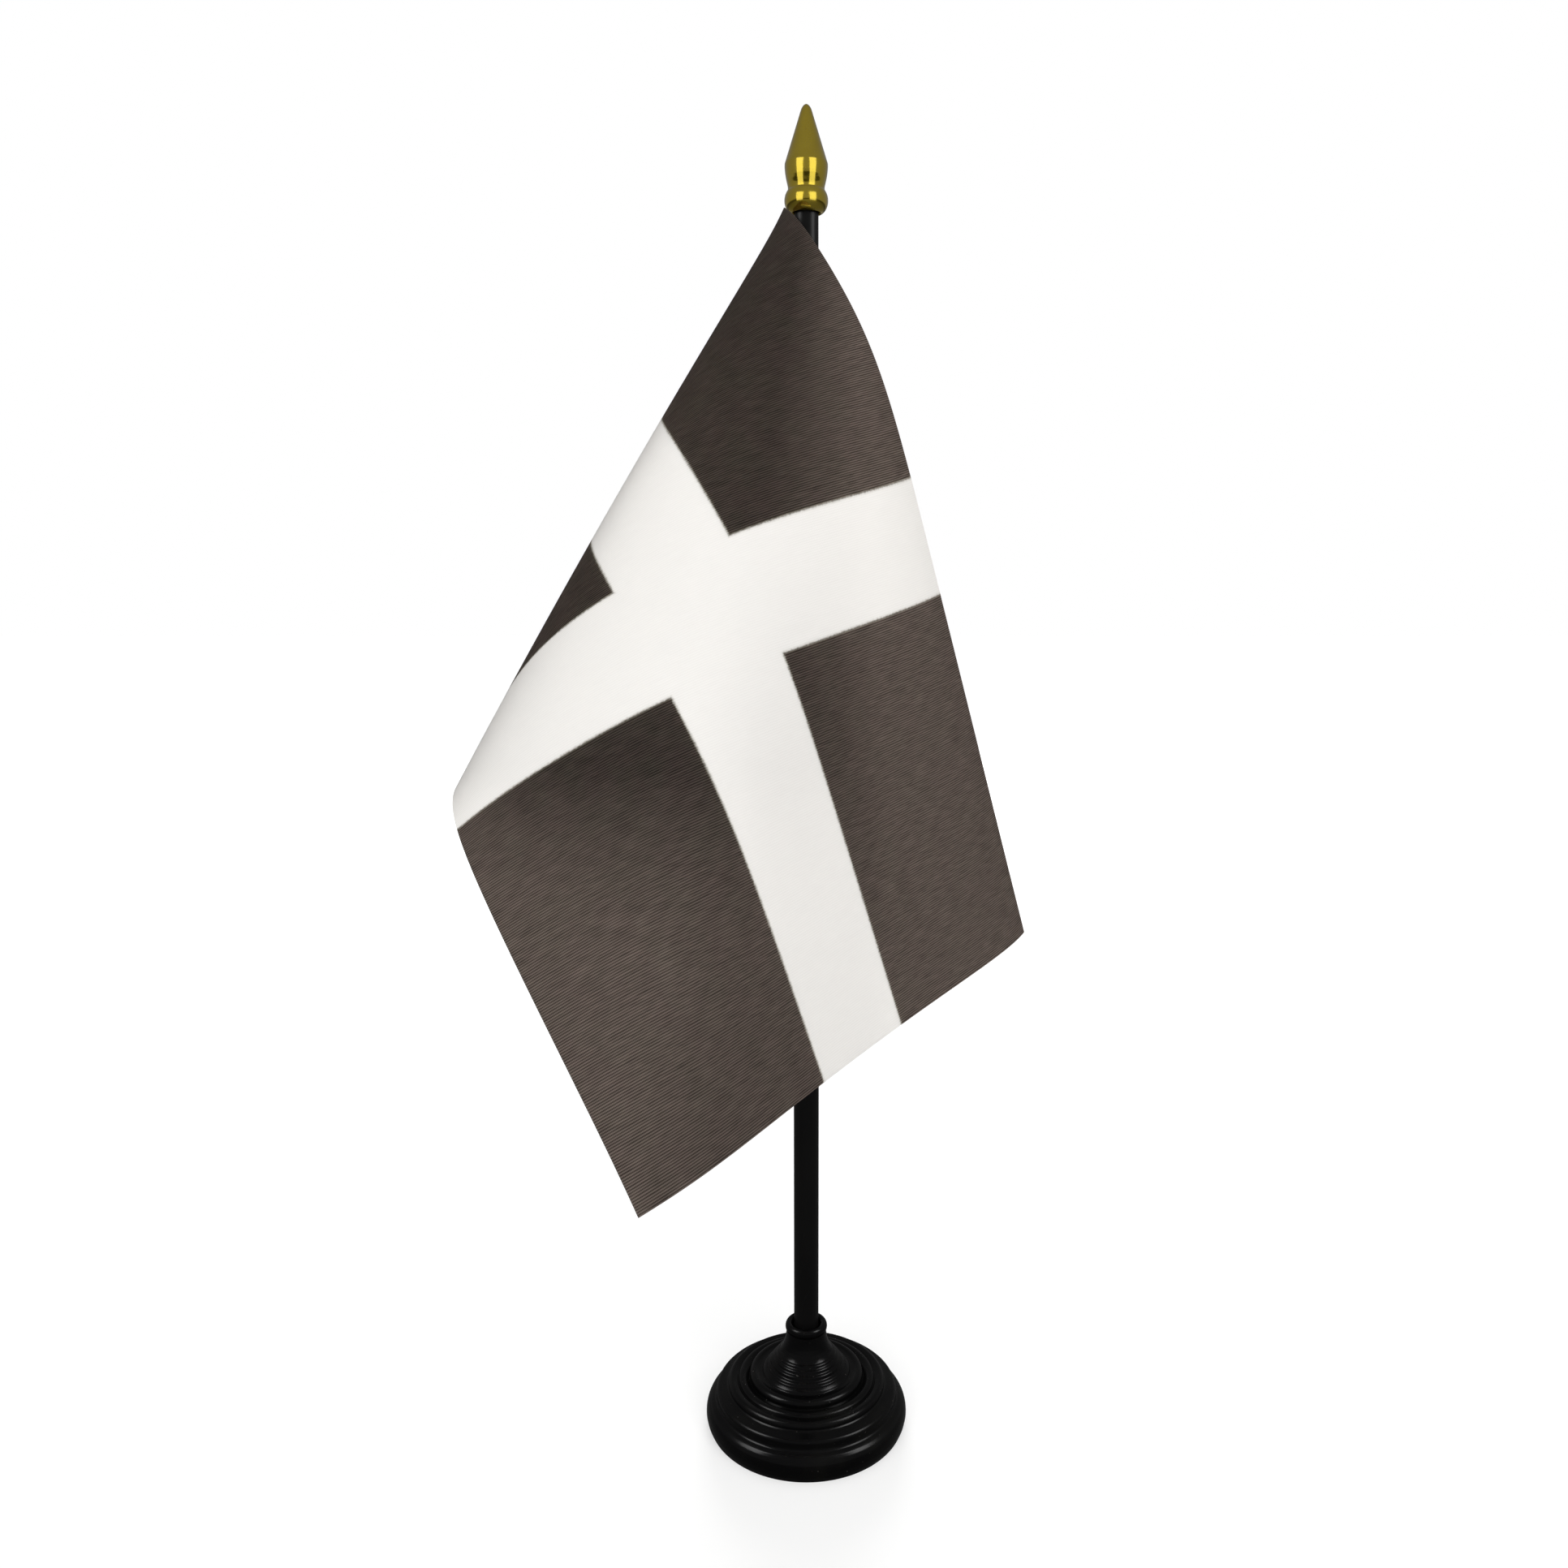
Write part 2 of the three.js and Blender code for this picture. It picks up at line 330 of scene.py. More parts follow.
# %% Black drawn rod
def rod_plastic():
    """Noise stretched along the pole gives the lines, and plainer noises the patches and the ripple."""
    material, tree, shader, place = new_finish("black drawn rod")
    lengthwise = stretched(tree, place, (1.0, 1.0, 0.012))
    lines = noise(tree, lengthwise, 2400.0, 3.0, 0.6)
    patches = noise(tree, stretched(tree, place, (1.0, 1.0, 0.25)), 160.0, 3.0)
    ripple = noise(tree, place, 500.0, 2.0)
    plain = mixed_colour(tree, patches, (0.0018, 0.0018, 0.0019, 1), (0.0034, 0.0033, 0.0031, 1))
    tree.links.new(plain, shader.inputs["Base Color"])
    shader.inputs["Specular IOR Level"].default_value = 0.13
    shader.inputs["IOR"].default_value = 1.5
    handled = between(tree, patches, 0.3, 0.7, 0.28, 0.38)
    rough = maths(tree, "ADD", handled, maths(tree, "MULTIPLY", lines, 0.08))
    tree.links.new(rough, shader.inputs["Roughness"])
    height = maths(tree, "ADD", lines, maths(tree, "MULTIPLY", ripple, 0.5))
    bump = add_node(tree, "ShaderNodeBump", {"Strength": 0.3, "Distance": 0.015 * MM, "Height": height})
    tree.links.new(bump.outputs[0], shader.inputs["Normal"])
    return finished(material)


# %% [markdown]
# ## Gold plating
#
# The finial is plastic with a bright metal film and a yellow-green lacquer over it. The film copies
# every ripple of the plastic under it, so a straight reflection breaks into streaks that run up the
# piece. The lacquer is a clear coat that pools a little, and so the gold is deeper in places.

# %% Gold plating
def gold_plating():
    """Noise stretched upright gives the streaks, and a rounder one the pools of lacquer."""
    material, tree, shader, place = new_finish("gold plating")
    upright = stretched(tree, place, (1.0, 1.0, 0.22))
    streaks = noise(tree, upright, 900.0, 3.0, 0.55)
    pools = noise(tree, place, 260.0, 3.0)
    pits = between(tree, noise(tree, place, 3400.0, 1.0), 0.7, 0.76, 0.0, 1.0, True)
    gold = mixed_colour(tree, pools, (0.62, 0.445, 0.02, 1), (0.74, 0.56, 0.04, 1))
    tree.links.new(mixed_colour(tree, pits, gold, (0.4, 0.28, 0.03, 1)), shader.inputs["Base Color"])
    shader.inputs["Metallic"].default_value = 1.0
    shader.inputs["Coat Weight"].default_value = 1.0
    shader.inputs["Coat Roughness"].default_value = 0.06
    shader.inputs["Coat IOR"].default_value = 1.45
    film = between(tree, pools, 0.3, 0.7, 0.1, 0.19)
    rough = maths(tree, "ADD", film, maths(tree, "MULTIPLY", pits, 0.2))
    tree.links.new(rough, shader.inputs["Roughness"])
    height = maths(tree, "ADD", streaks, maths(tree, "MULTIPLY", pits, -0.3))
    bump = add_node(tree, "ShaderNodeBump", {"Strength": 0.3, "Distance": 0.05 * MM, "Height": height})
    tree.links.new(bump.outputs[0], shader.inputs["Normal"])
    return finished(material)


# %% [markdown]
# ## Printed polyester
#
# The cloth is a thin ribbed weave, printed dark on white yarn with a plain cross left white. Three
# things make it read as cloth. Its ribs run from the top edge to the bottom edge, about three to a
# millimetre, and the colour is painted lighter on each crest and darker in each groove: painted light
# and shade of the ribs. The ink creeps along the yarn, so the cross has soft edges. And the cloth lets
# light through: what lies behind it shows as a shadow, and the white lets through more than the ink
# does. The cloth is a closed skin, so light passes its translucent shader twice, once on each face.
#
# The pattern lives on the cloth's own UV map. It holds the distance along the threads and the depth
# from the top edge, so the print and the ribs bend with the folds.

# %% The cloth's own map
MAP_START = -30.0  # the sleeve goes back round the pole from zero
MAP_WIDTH = 190.0
RIB = 0.38
CROSS_YARN = 0.25
CROSS_ALONG = SEAM + 150.0 / 2
CROSS_HALF_WIDTH = 10.4


def cloth_map(along, depth):
    """UV of points on the cloth: along from MAP_START to the free end, and depth from the top edge."""
    return np.stack([(along - MAP_START) / MAP_WIDTH, 1 - depth / FLAG_HEIGHT], -1)


def cloth_place(tree):
    """The distance along the threads and the depth from the top edge, in millimetres, from the UV map."""
    uv = add_node(tree, "ShaderNodeUVMap", uv_map="cloth").outputs["UV"]
    parts = add_node(tree, "ShaderNodeSeparateXYZ", {0: uv}).outputs
    along = maths(tree, "MULTIPLY_ADD", parts[0], MAP_WIDTH, MAP_START)
    depth = maths(tree, "MULTIPLY_ADD", parts[1], -FLAG_HEIGHT, FLAG_HEIGHT)
    place = add_node(tree, "ShaderNodeCombineXYZ", {0: along, 1: depth}).outputs[0]
    return along, depth, place


# %% Printed polyester
def cloth_ribs(tree, along, depth, place):
    """How high each point stands in the weave, from 0 in a groove to 1 on a crest.

    A sine along the threads gives the ribs, and a weaker one down them gives the crossing yarn. Slow
    noise shifts both, because no yarn is quite straight, and long thin noise makes some ribs fuller.
    """
    sway = noise(tree, stretched(tree, place, (0.6, 0.05, 1.0)), 1.0, 2.0)
    shifted = maths(tree, "MULTIPLY_ADD", sway, 0.5 * RIB, along)
    rib = maths(tree, "SINE", maths(tree, "MULTIPLY", shifted, 2 * math.pi / RIB))
    yarn = maths(tree, "SINE", maths(tree, "MULTIPLY", depth, 2 * math.pi / CROSS_YARN))
    fuller = noise(tree, stretched(tree, place, (1.3, 0.16, 1.0)), 1.6, 4.0, 0.7)
    raised = maths(tree, "MULTIPLY_ADD", rib, 0.36, maths(tree, "MULTIPLY", yarn, 0.11))
    return maths(tree, "ADD", maths(tree, "ADD", raised, 0.15), maths(tree, "MULTIPLY", fuller, 0.8))


def cross_mask(tree, along, depth, place):
    """1 in the white cross and 0 in the ink, with a soft edge that wanders as ink does on yarn."""
    beside = maths(tree, "ABSOLUTE", maths(tree, "SUBTRACT", along, CROSS_ALONG))
    above = maths(tree, "ABSOLUTE", maths(tree, "SUBTRACT", depth, FLAG_HEIGHT / 2))
    nearer = maths(tree, "MINIMUM", beside, above)
    creep = maths(tree, "MULTIPLY_ADD", noise(tree, place, 2.2, 2.0), 0.5, -0.25)
    edge = maths(tree, "ADD", maths(tree, "SUBTRACT", nearer, CROSS_HALF_WIDTH), creep)
    white = between(tree, edge, -0.28, 0.28, 1.0, 0.0, True)
    distance = maths(tree, "ABSOLUTE", maths(tree, "MULTIPLY", edge, 2.2))
    halo = maths(tree, "SUBTRACT", 1.0, maths(tree, "MINIMUM", 1.0, distance))
    return white, halo


MAUVE_INK = (0.022, 0.017, 0.0155, 1)
OLIVE_INK = (0.02, 0.018, 0.0146, 1)
INK_FRINGE = (0.16, 0.15, 0.07, 1)
INK_GLOW = (0.66, 0.585, 0.54, 1)
BARE_YARN = (1.0, 0.985, 0.96, 1)
BARE_GLOW = (0.98, 0.965, 0.94, 1)
LET_THROUGH = 0.42


def printed_polyester():
    """The ink's colour times the height of the weave, painted light on the crests and painted shade in the
    grooves, and bare yarn with the same painted shade where the cross is.
    """
    material, tree, shader, _ = new_finish("printed polyester")
    along, depth, place = cloth_place(tree)
    ribs = cloth_ribs(tree, along, depth, place)
    white, halo = cross_mask(tree, along, depth, place)
    blotches = noise(tree, stretched(tree, place, (1.0, 1.6, 1.0)), 0.13, 4.0, 0.6)
    blotched = between(tree, blotches, 0.35, 0.65, 0.0, 1.0, True)
    ink = mixed_colour(tree, blotched, MAUVE_INK, OLIVE_INK)
    # Painted light on the rib crests and painted shade in the grooves of the ink.
    rib_light_and_shade = between(tree, ribs, 0.15, 1.0, 0.1, 2.5)
    # Painted shade in the grooves of the bare yarn, and painted light on its crests.
    bare_yarn_groove_shade = between(tree, ribs, 0.1, 1.05, 0.86, 0.96)
    colour = mixed_colour(tree, white, shaded(tree, ink, rib_light_and_shade), shaded(tree, BARE_YARN, bare_yarn_groove_shade))
    colour = mixed_colour(tree, maths(tree, "MULTIPLY", halo, 0.3), colour, INK_FRINGE)
    tree.links.new(colour, shader.inputs["Base Color"])
    shader.inputs["Roughness"].default_value = 0.72
    shader.inputs["Specular IOR Level"].default_value = 0.12
    shader.inputs["Sheen Weight"].default_value = 0.012
    shader.inputs["Sheen Roughness"].default_value = 0.5
    # The light let through carries the same painted light and shade of the ribs.
    glow = mixed_colour(tree, 0.4, shaded(tree, INK_GLOW, rib_light_and_shade), INK_GLOW)
    through = mixed_colour(tree, white, glow, BARE_GLOW)
    bump = add_node(tree, "ShaderNodeBump", {"Strength": 0.35, "Distance": 0.03 * MM, "Height": ribs})
    tree.links.new(bump.outputs[0], shader.inputs["Normal"])
    sockets = {"Color": through, "Normal": bump.outputs[0]}
    lit_through = add_node(tree, "ShaderNodeBsdfTranslucent", sockets).outputs[0]
    both = add_node(tree, "ShaderNodeMixShader", {0: LET_THROUGH, 1: shader.outputs[0], 2: lit_through})
    tree.links.new(both.outputs[0], tree.nodes["Material Output"].inputs["Surface"])
    return finished(material)


# %% [markdown]
# ## Sewing thread
#
# Spun polyester thread is two plies twisted together. At this size the twist shows only as slanting
# light and dark along each stitch.

# %% Sewing thread
def sewing_thread():
    """Slanting bands for the twist, times a fine noise for the fuzz."""
    material, tree, shader, place = new_finish("sewing thread")
    sockets = {"Vector": place, "Scale": 520.0, "Distortion": 1.5, "Detail": 2.0}
    slant = add_node(tree, "ShaderNodeTexWave", sockets, bands_direction="DIAGONAL").outputs["Fac"]
    fuzz = noise(tree, place, 9000.0, 2.0)
    shade = maths(tree, "MULTIPLY", slant, fuzz)
    colour = mixed_colour(tree, shade, (0.02, 0.016, 0.015, 1), (0.12, 0.1, 0.09, 1))
    tree.links.new(colour, shader.inputs["Base Color"])
    shader.inputs["Roughness"].default_value = 0.65
    shader.inputs["Sheen Weight"].default_value = 0.15
    bump = add_node(tree, "ShaderNodeBump", {"Strength": 0.5, "Distance": 0.03 * MM, "Height": slant})
    tree.links.new(bump.outputs[0], shader.inputs["Normal"])
    return finished(material)


# %% [markdown]
# ## The foot
#
# The foot looks turned: a rounded rim on the table, a steep drum, three beads that shrink towards the
# middle, small steps up a waisted neck, and a rolled lip round the socket. It is a hollow
# shell with a closed boss under the socket, so that it moulds quickly and takes little plastic.

# %% The foot
def joined(rows):
    """One profile from several runs of points."""
    return np.concatenate([np.asarray(row, float) for row in rows])


def foot_profile():
    """Runs of radius and height in millimetres, eased at their corners.

    They go from under the foot, out and over it, and down into the socket.
    """
    base_edge = 21.0
    boss = 4.7
    wall = 1.6
    socket = POLE_FOOT_RADIUS + 0.3
    socket_floor = 2.2
    under = [(0, 0), (boss, 0), (boss, 11.7), (8.4, 10.2), (13.3, 7.8), (16.9, 6.2), (18.9, 4.4)]
    skirt = [(base_edge - wall, 2.7), (base_edge - wall, 0), (base_edge, 0)]
    rim = [(21.5, 1.2), (21.72, 2.3), (21.68, 3.2), (21.5, 4.0), (21.15, 4.75), (20.7, 5.3)]
    drum = [(20.3, 5.55), (19.85, 5.75), (19.6, 6.05), (19.48, 6.5)]
    drum_lip = arc(18.55, 7.15, 0.9, 0.95, 0, 90, 7)
    first_step = [(17.75, 8.25), (17.2, 8.4), (17.0, 8.6)]
    first_bead = arc(15.95, 8.9, 0.97, 1.15, -10, 90, 7)
    first_groove = [(15.1, 9.9), (14.85, 9.75)]
    second_bead = arc(13.75, 9.75, 0.95, 0.78, 0, 130, 7)
    second_groove = [(12.5, 10.0), (12.35, 9.9)]
    third_bead = arc(11.15, 10.65, 1.12, 1.15, -20, 125, 9)
    steps = [(9.6, 11.5), (9.35, 12.0), (8.8, 12.45), (8.55, 12.5), (8.3, 13.1), (7.75, 13.35), (7.6, 14.1),
             (7.05, 14.35), (6.9, 14.95), (6.4, 15.25), (6.25, 15.75), (5.75, 16.05)]
    waist = [(5.4, 16.6), (5.0, 17.4), (4.65, 18.4), (4.42, 19.4), (4.3, 20.4)]
    collar = arc(3.73, 21.65, 0.77, 1.05, -50, 180, 14)
    inside = [(socket, 20.65), (socket, socket_floor), (0, socket_floor)]
    beads = [first_step, first_bead, first_groove, second_bead, second_groove, third_bead]
    return eased(joined([under, skirt, rim, drum, drum_lip, *beads, steps, waist, collar, inside]), 0.16, 2)


foot = turned_piece("foot", foot_profile(), 176, foot_plastic())
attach(foot, "stand")
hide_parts("base")

# %% [markdown]
# ## The pole
#
# A plain rod: straight as far as the flag's lower end, then a slight taper up to where the finial is
# pushed on. Its ends are chamfered so that both fits start easily.

# %% The pole
def pole_profile():
    """A chamfer, a straight run, a straight taper and a chamfer."""
    chamfer = 0.4
    bottom = pole_low.z / MM
    top = pole_high.z / MM
    lower_end = [(0, bottom), (POLE_FOOT_RADIUS - chamfer, bottom), (POLE_FOOT_RADIUS, bottom + chamfer)]
    straight = [(POLE_FOOT_RADIUS, 40.0), (POLE_FOOT_RADIUS, POLE_TAPERS_FROM)]
    upper_end = [(POLE_TOP_RADIUS, top - chamfer), (POLE_TOP_RADIUS - chamfer, top), (0, top)]
    return eased(lower_end + straight + upper_end, 0.2, 4)


pole = turned_piece("rod", pole_profile(), 96, rod_plastic())
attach(pole, "pole")
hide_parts("pole")

# %% [markdown]
# ## The finial
#
# A spear point in miniature. From the bottom: a ball with a blind bore for the pole, a tight neck, a
# barrel that widens to a crease, and a straight cone with a blunt tip. It was moulded in two halves,
# so a hair-fine ridge runs up each side.

# %% The finial
def finial_profile():
    """The bore, an elliptical ball, a neck, a barrel and a cone with a blunt tip.

    Heights are from the finial's own foot, and are raised to its place at the end.
    """
    bore = POLE_TOP_RADIUS + 0.3
    depth = 7.2
    blind_bore = [(0, depth), (bore, depth), (bore, 0.5), (bore + 0.2, 0.1)]
    ball = arc(2.57, 2.4, 1.5, 2.3, -80, 52, 22)
    neck = [(3.42, 4.32), (3.4, 4.7), (3.5, 5.2)]
    barrel = [(3.66, 5.85), (3.8, 6.5), (3.91, 7.15), (3.98, 7.8), (4.02, 8.4), (4.0, 8.95), (3.93, 9.2)]
    tip = [(1.06, 18.1), (0.9, 18.55), (0.72, 18.9), (0.48, 19.2), (0.22, 19.38), (0, 19.45)]
    return eased(joined([blind_bore, ball, neck, barrel, tip]), 0.12, 3) + np.array([0, FINIAL_BOTTOM])


finial = turned_piece("spear_finial", finial_profile(), 240, gold_plating(), ridge=0.05)
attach(finial, "finial")
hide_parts("finial")

# %% [markdown]
# ## The flag, thread by thread
#
# A cloth simulation could drape this flag, but it would stretch it and would not land on this very
# fold. Cloth bends easily and hardly stretches, and that gives a better way. Take each level thread of
# the weave as a line of fixed length that starts at the pole. Say only which way it points at each
# distance, and add the steps up. Its length is then exact, and so is the print on it.
#
# The direction has a heading, seen from above, and a drop below level. Near the pole a thread runs to
# the front left, nearly level: the back panel. Then it turns in a fold to the front right, and drops
# steeply: the lower left panel. Then it turns again to the right: the last panel. Each turn is a smooth
# step, and its place moves along the thread with the thread's depth, so the folds slant as they do on
# a real flag that hangs by one edge.

# %% The direction of a thread
FRONT_HEADING = 316.4
LAST_TURN = 47.7
BACK_DROP = -1.9
FRONT_DROP = 53.0
LAST_DROP = 23.8


def step_up(x):
    """A smooth step: half of one plus the hyperbolic tangent."""
    return 0.5 * (1 + np.tanh(x))


def thread_direction(along, depth):
    """Unit vectors from a heading and a drop.

    Level parts are the cosine and sine of the heading times the drop's cosine. The upright part is the
    drop's sine, downwards. The heading is the back panel's, plus a first turn at the first fold, plus a
    second turn at the second, and close to the pole it still turns away from the sleeve. The drop
    starts just after each fold does. Each fold's place and width are polynomials of the depth as a
    share of the flag's height.
    """
    share = depth / FLAG_HEIGHT
    first_fold = 7.6 + 73.8 * share - 6 * share**2
    first_width = 10.2 + 9 * share
    second_fold = 42.7 + 88 * share + 36 * share**2
    second_width = 18.2 + 3.9 * share
    back_heading = 215.4 - 2.3 * share + 27.5 * np.exp(-((along / 5) ** 2))
    first_turn = step_up((along - first_fold) / first_width)
    second_turn = step_up((along - second_fold) / second_width)
    heading = back_heading + (FRONT_HEADING - back_heading) * first_turn + LAST_TURN * second_turn
    first_drop = step_up((along - first_fold - 4.5 - 1.4 * share) / (0.77 * first_width))
    second_drop = step_up((along - second_fold + 2.4 + 10.8 * share) / (0.85 * second_width))
    drop = BACK_DROP + (FRONT_DROP - 4.9 * share) * first_drop + LAST_DROP * second_drop
    heading, drop = np.radians(heading), np.radians(drop)
    return np.stack([np.cos(drop) * np.cos(heading), np.cos(drop) * np.sin(heading), -np.sin(drop)], -1)


# %% Laying the threads out
def thread_points(along, depth, step=0.35):
    """Where the threads at these depths are, at these distances from the pole, one row for each depth.

    Half-step directions are summed along each thread, and the sum is read off at the distances.
    """
    middle = np.arange(step / 2, FLAG_LENGTH + step, step)
    directions = thread_direction(middle[None, :], depth[:, None])
    summed = np.concatenate([np.zeros((len(depth), 1, 3)), np.cumsum(directions * step, 1)], 1)
    place = along / step
    whole = np.floor(place).astype(int)
    rest = (place - whole)[None, :, None]
    points = summed[:, whole] * (1 - rest) + summed[:, whole + 1] * rest
    start = np.stack([np.full(len(depth), -2.75), np.full(len(depth), -0.4), FLAG_TOP - depth], -1)
    return start[:, None] + points


def facing(grid):
    """Unit normals of a grid of points: along the threads crossed with down them."""
    normal = np.cross(np.gradient(grid, axis=1), np.gradient(grid, axis=0))
    return normal / np.linalg.norm(normal, axis=-1, keepdims=True)


def cloth_piece(name, grid, along, depth, thickness, material):
    """A closed skin round a grid: the grid moved half a thickness each way, joined by a border."""
    rows, columns = grid.shape[:2]
    shift = facing(grid) * thickness / 2
    points = np.concatenate([(grid + shift).reshape(-1, 3), (grid - shift).reshape(-1, 3)])
    front = np.arange(rows * columns).reshape(rows, columns)
    back = front + rows * columns
    hoist_and_free_end = [(front[:, 0], back[:, 0]), (back[:, -1], front[:, -1])]
    top_and_bottom = [(back[0], front[0]), (front[-1], back[-1])]
    faces = grid_faces(front) + grid_faces(back.T)
    for near, far in hoist_and_free_end + top_and_bottom:
        faces += np.stack([near[:-1], near[1:], far[1:], far[:-1]], -1).tolist()
    uv = cloth_map(*np.broadcast_arrays(along[None, :], depth[:, None]))
    return make_piece(name, points, faces, material, sharp=60.0, uv=np.tile(uv.reshape(-1, 2), (2, 1)))


# %% [markdown]
# ## Sewing the flag
#
# The cloth is 0.15 mm thick, with edges cut by a hot wire, which seals them flat. The flag's grid is
# fine enough for the folds to be round from any side.

# %% The flag
CLOTH = 0.16

polyester = printed_polyester()
flag_along = np.linspace(0, FLAG_LENGTH, 217)
flag_depth = np.linspace(0, FLAG_HEIGHT, 147)
flag_grid = thread_points(flag_along, flag_depth)
flag = cloth_piece("flag", flag_grid, flag_along, flag_depth, CLOTH, polyester)
lengths = np.linalg.norm(np.diff(flag_grid, axis=1), axis=-1).sum(1)
print("threads are", round(lengths.min(), 2), "to", round(lengths.max(), 2), "mm long")

# %% [markdown]
# ## The sleeve
#
# The hoist edge goes on round the pole and comes back to be sewn on the cloth. Seen from above it is a
# drop: a circle that hugs the pole, and from the pole's front a straight run to the seam. Past the seam
# a few millimetres of raw edge lie flat on the cloth.

# %% The sleeve
def sleeve_grid(depth):
    """The drop-shaped loop at each depth, from the flap's raw edge to where the flag leaves the pole.

    The flap and the straight run are points on lines. The circle's angle runs from the point where a
    line from the seam touches it, which is the seam's own angle plus the arc cosine of radius over
    distance, round the back of the pole to the flag's first point.
    """
    radius = math.hypot(2.75, 0.4)
    last_angle = math.pi + math.atan2(0.4, 2.75)
    near = thread_points(np.array([SEAM, SEAM + 1.3, SEAM + 2.6]), depth)
    lifted = near + facing(near) * (CLOTH + 0.03)
    seam_point = lifted[:, 0]
    flap = lifted[:, :0:-1]
    seam_distance = np.hypot(seam_point[:, 0], seam_point[:, 1])
    seam_angle = np.arctan2(seam_point[:, 1], seam_point[:, 0])
    first_angle = seam_angle + np.arccos(radius / seam_distance)
    angle = first_angle[:, None] + (last_angle - first_angle)[:, None] * np.linspace(0, 1, 49)
    height = np.broadcast_to((FLAG_TOP - depth)[:, None], angle.shape)
    circle = np.stack([radius * np.cos(angle), radius * np.sin(angle), height], -1)
    share = np.linspace(0, 1, 8)[None, :-1, None]
    run = seam_point[:, None] * (1 - share) + circle[:, :1] * share
    return np.concatenate([flap, run, circle], 1)


sleeve_depth = np.linspace(SLEEVE_NOTCH, FLAG_HEIGHT, 90)
loop = sleeve_grid(sleeve_depth)
loop_lengths = np.linalg.norm(np.diff(loop, axis=1), axis=-1).mean(0)
loop_along = np.concatenate([[0], np.cumsum(loop_lengths)]) - loop_lengths.sum()
sleeve = cloth_piece("sleeve", loop, loop_along, sleeve_depth, CLOTH, polyester)
print("the loop takes", round(-loop_along[0], 1), "mm of cloth")

# %% [markdown]
# ## The seam
#
# One row of lockstitch holds the sleeve, 4 mm from the pole. Each stitch is a short spindle of thread
# that dips into the cloth at both ends. There is one on each face, half a stitch apart.

# %% The seam
STITCH = 2.5
THREAD = 0.13


def stitch_points(centre, tangent, outward):
    """Spindles: along the tangent by half a length times the cosine of the first angle.

    Round it the radius is the thread's times the sine of that angle, turned by a second angle between
    outward and the cross product of both.
    """
    lengthwise = np.linspace(0.25, np.pi - 0.25, 7)[None, :, None, None]
    round_it = (2 * np.pi * np.arange(8) / 8)[None, None, :, None]
    sideways = np.cross(tangent, outward)
    centre, tangent, outward, sideways = (a[:, None, None] for a in (centre, tangent, outward, sideways))
    ring = outward * np.cos(round_it) + sideways * np.sin(round_it)
    reach = 0.46 * STITCH * np.cos(lengthwise)
    radius = THREAD * np.sin(lengthwise) ** 0.6
    return centre + tangent * reach + ring * radius


def seam_stitches(material):
    """A row of spindles on each face of the cloth, half a stitch apart, as one mesh."""
    count = int((FLAG_HEIGHT - SLEEVE_NOTCH - 2) / STITCH)
    first = SLEEVE_NOTCH + 1.6
    sides = ((1, CLOTH * 1.5 + 0.03 + 0.4 * THREAD, 0.0), (-1, CLOTH / 2 + 0.4 * THREAD, STITCH / 2))
    batches = []
    for sign, lift, late in sides:
        depth = first + late + STITCH * np.arange(count)
        near = thread_points(np.array([SEAM - 0.2, SEAM + 0.15, SEAM + 0.5]), depth)
        outward = sign * facing(near)[:, 1]
        tangent = np.gradient(near[:, 1], axis=0)
        tangent = tangent / np.linalg.norm(tangent, axis=-1, keepdims=True)
        batches.append(stitch_points(near[:, 1] + outward * lift, tangent, outward))
    points = np.concatenate(batches)
    number = np.arange(points[..., 0].size).reshape(points.shape[:3])
    wrapped = np.concatenate([number, number[:, :, :1]], 2)
    corners = (wrapped[:, :-1, :-1], wrapped[:, 1:, :-1], wrapped[:, 1:, 1:], wrapped[:, :-1, 1:])
    faces = np.stack(corners, -1).reshape(-1, 4).tolist()
    faces += number[:, 0].tolist() + number[:, -1, ::-1].tolist()
    return make_piece("seam_stitches", points.reshape(-1, 3), faces, material)


stitches = seam_stitches(sewing_thread())

# %% [markdown]
# ## What each sewn piece stands for
#
# The flag, its sleeve and its seam turn together round the pole.

# %% Riding
for piece in (flag, sleeve, stitches):
    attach(piece, "flag")
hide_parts("flag_cloth")
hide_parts("flag_sleeve")
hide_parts("sleeve_thread")

# %% [markdown]
# ## The floor and the light
#
# A pale floor and soft light from large panels show the object plainly. The floor is pale to the eye
# and dim to the object, as when a stand is set on a narrow shelf: a white floor all round would fill
# the black plastic and the underside of the gold with grey.
#
# Three fill panels light the cloth and the floor, and stay out of every reflection: one overhead, one
# in front, and a small one behind that shines through the cloth. Being small, it lets the back layer
# of the cloth and the pole show through the front layer as soft shadows. Two tall panels in front
# give the gold its upright gleams. Two more, further round and higher, are linked to the black pieces
# alone and put the gleams on their beads.

# %% The floor
def floor_finish():
    """Paint for the eye, which brightens with the distance from the stand, and a dim grey for the rest."""
    material, tree, shader, place = new_finish("pale floor")
    away = add_node(tree, "ShaderNodeVectorMath", {0: place}, operation="LENGTH").outputs["Value"]
    pale = mixed_colour(tree, between(tree, away, 0.25, 0.9, 0.0, 1.0, True), (0.55, 0.55, 0.547, 1),
                        (0.2, 0.2, 0.2, 1))
    tree.links.new(pale, shader.inputs["Base Color"])
    shader.inputs["Emission Color"].default_value = (1, 1, 1, 1)
    tree.links.new(between(tree, away, 0.2, 0.9, 0.5, 0.97, True), shader.inputs["Emission Strength"])
    shader.inputs["Roughness"].default_value = 0.9
    shader.inputs["Specular IOR Level"].default_value = 0.1
    dim = add_node(tree, "ShaderNodeBsdfDiffuse", {"Color": (0.12, 0.12, 0.12, 1)})
    eye = add_node(tree, "ShaderNodeLightPath").outputs["Is Camera Ray"]
    both = add_node(tree, "ShaderNodeMixShader", {0: eye, 1: dim.outputs[0], 2: shader.outputs[0]})
    tree.links.new(both.outputs[0], tree.nodes["Material Output"].inputs["Surface"])
    return finished(material)


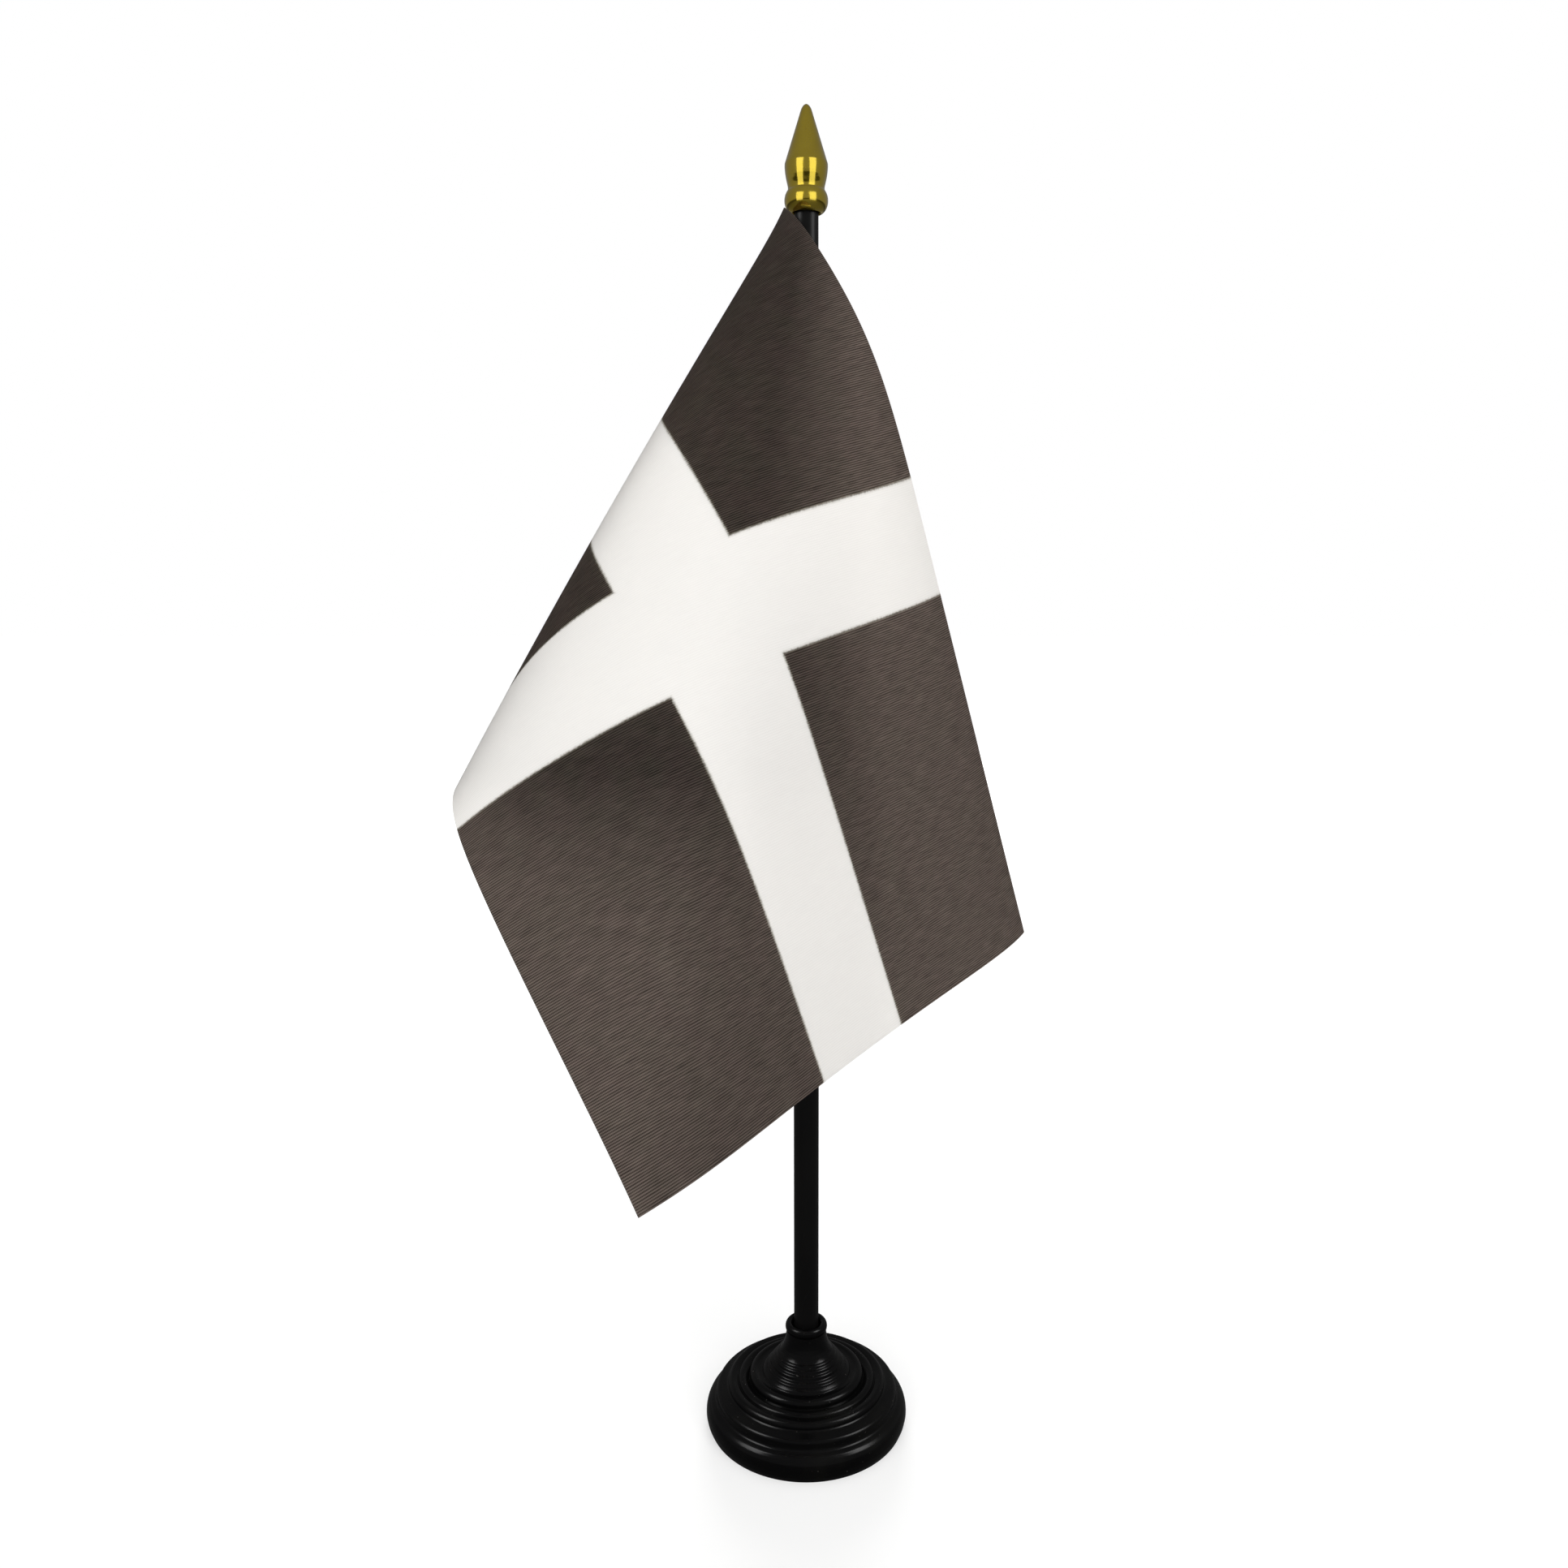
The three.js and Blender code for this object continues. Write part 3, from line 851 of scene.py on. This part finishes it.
floor_mesh = bpy.data.meshes.new("floor")
floor_half = 4.0
floor_corners = [(-floor_half, -floor_half, 0), (floor_half, -floor_half, 0), (floor_half, floor_half, 0),
                 (-floor_half, floor_half, 0)]
floor_mesh.from_pydata(floor_corners, [], [(0, 1, 2, 3)])
floor_mesh.materials.append(floor_finish())
floor = bpy.data.objects.new("floor", floor_mesh)
bpy.context.scene.collection.objects.link(floor)

# %% The light
def soft_panel(name, place, aim, width, height, watts):
    """A rectangular light that faces the point aim, and that the camera doesn't see."""
    data = bpy.data.lights.new(name, "AREA")
    data.shape = "RECTANGLE"
    data.size = width
    data.size_y = height
    data.energy = watts
    panel = bpy.data.objects.new(name, data)
    panel.location = place
    away = np.array(place) - np.array(aim)
    flat = math.hypot(away[0], away[1])
    panel.rotation_euler = (math.atan2(flat, away[2]), 0, math.atan2(away[1], away[0]) + math.pi / 2)
    panel.visible_camera = False
    bpy.context.scene.collection.objects.link(panel)
    return panel


def surroundings(front, behind):
    """Even light whose strength goes from one value in front to another behind, on white for the eye."""
    world = bpy.data.worlds.new("studio")
    bpy.context.scene.world = world
    world.use_nodes = True
    tree = world.node_tree
    away = add_node(tree, "ShaderNodeTexCoord").outputs["Generated"]
    side = add_node(tree, "ShaderNodeSeparateXYZ", {0: away}).outputs[1]
    strength = between(tree, side, -1.0, 1.0, front, behind)
    lighting = add_node(tree, "ShaderNodeBackground", {"Color": (1, 1, 1, 1), "Strength": strength})
    seen = add_node(tree, "ShaderNodeBackground", {"Color": (1, 1, 1, 1), "Strength": 1.0})
    eye = add_node(tree, "ShaderNodeLightPath").outputs["Is Camera Ray"]
    both = add_node(tree, "ShaderNodeMixShader", {0: eye, 1: lighting.outputs[0], 2: seen.outputs[0]})
    tree.links.new(both.outputs[0], tree.nodes["World Output"].inputs["Surface"])


def lit_only_by(panels, title, pieces):
    """Links panels to some pieces, so that they light nothing else."""
    group = bpy.data.collections.new(title)
    for piece in pieces:
        group.objects.link(piece)
    for panel in panels:
        panel.light_linking.receiver_collection = group
    print(title, "get", [panel.name for panel in panels])


# %% Set the light
MIDDLE = (0, 0, 0.15)
FOOT_CENTRE = (0, 0, 0.01)

tall_panels = [
    soft_panel("left panel", (-0.62, -0.85, 0.42), MIDDLE, 0.7, 0.95, 2.5),
    soft_panel("right panel", (0.62, -0.85, 0.42), MIDDLE, 0.7, 0.95, 2.5),
]
lit_only_by(tall_panels, "gold, cloth and floor", [finial, flag, sleeve, stitches, floor])

gleams = [
    soft_panel("left gleam", (-0.75, -0.32, 0.68), FOOT_CENTRE, 0.4, 0.5, 6.0),
    soft_panel("right gleam", (0.75, -0.32, 0.68), FOOT_CENTRE, 0.4, 0.5, 6.0),
]
lit_only_by(gleams, "black pieces", [foot, pole])

fill_panels = [
    soft_panel("top panel", (0.1, 0.2, 1.3), MIDDLE, 1.0, 1.0, 3.0),
    soft_panel("front panel", (0.1, -1.1, 0.5), MIDDLE, 1.6, 1.2, 16.0),
    soft_panel("back panel", (0.0, 1.1, 0.3), MIDDLE, 0.5, 0.45, 11.0),
]
for panel in fill_panels:
    panel.visible_glossy = False

surroundings(0.3, 0.2)
bpy.context.scene.view_settings.view_transform = "Standard"
bpy.context.scene.view_settings.look = "None"
